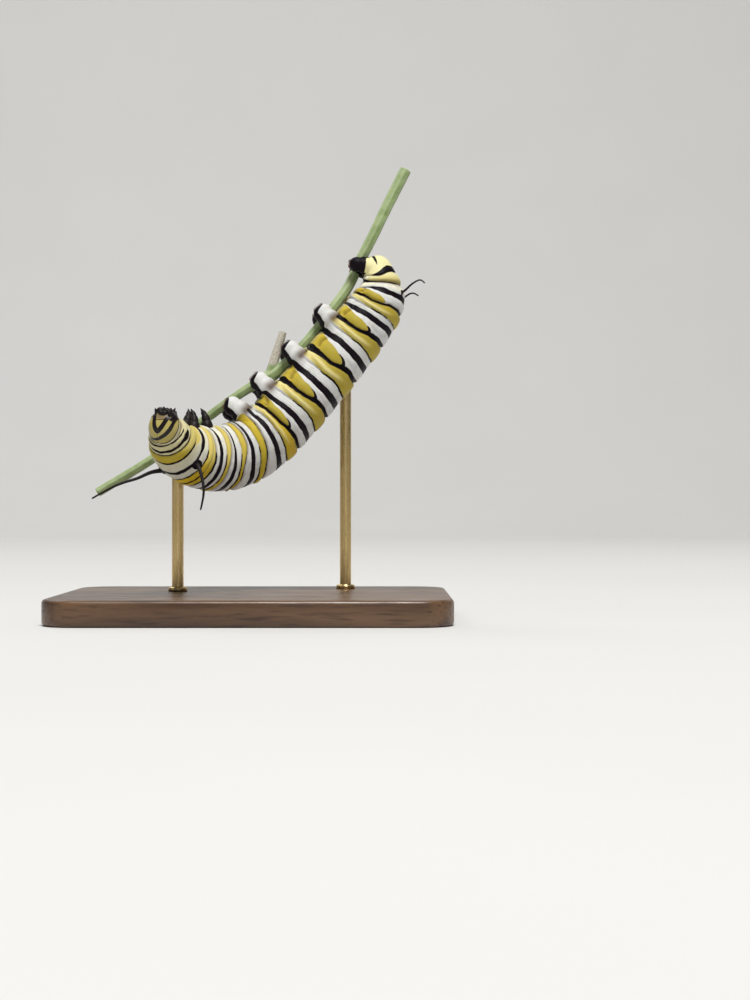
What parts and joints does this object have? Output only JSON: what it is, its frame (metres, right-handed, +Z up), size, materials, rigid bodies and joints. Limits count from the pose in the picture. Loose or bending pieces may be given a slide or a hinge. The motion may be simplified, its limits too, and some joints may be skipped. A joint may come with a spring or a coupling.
{
  "type": "monarch larva",
  "caption": "Life-size banded monarch larva with black feelers, gripping a short cut length of milkweed stem held on a plain wooden display stand.",
  "frame": {"origin": "centre of the underside of the stand, which is also the centre of the whole in plan", "axes": "+Z up, +X to the viewer's right along the board's long side, +Y away from the viewer"},
  "size_m": [0.046, 0.031, 0.0551],
  "materials": {
    "skin": "soft satin skin in white, black and yellow bands",
    "head_capsule": "smooth horny capsule, yellow with black stripes",
    "horn": "black satin horn",
    "green_stem": "matte green plant stem, finely ribbed",
    "stand_wood": "oiled dark wood",
    "stand_brass": "brushed brass"
  },
  "bodies": {
    "root": {"head": "head_capsule", "thorax_1": "skin", "thorax_2": "skin", "thorax_3": "skin", "abdomen_1": "skin", "abdomen_2": "skin", "abdomen_3": "skin", "abdomen_4": "skin", "abdomen_5": "skin", "abdomen_6": "skin", "abdomen_7": "skin", "abdomen_8": "skin", "abdomen_9": "skin", "abdomen_10": "skin", "proleg_3_left": "skin", "proleg_3_right": "skin", "proleg_4_left": "skin", "proleg_4_right": "skin", "proleg_5_left": "skin", "proleg_5_right": "skin", "proleg_6_left": "skin", "proleg_6_right": "skin", "anal_proleg_left": "skin", "anal_proleg_right": "skin", "leg_1_left": "horn", "leg_1_right": "horn", "leg_2_left": "horn", "leg_2_right": "horn", "leg_3_left": "horn", "leg_3_right": "horn", "antenna_left": "horn", "antenna_right": "horn", "filament_front_left": "horn", "filament_front_right": "horn", "filament_rear_left": "horn", "filament_rear_right": "horn", "perch_stem": "green_stem", "stand_base": "stand_wood", "stand_rod_front": "stand_brass", "stand_rod_back": "stand_brass", "stand_arm_back": "stand_brass"}
  },
  "joints": []
}
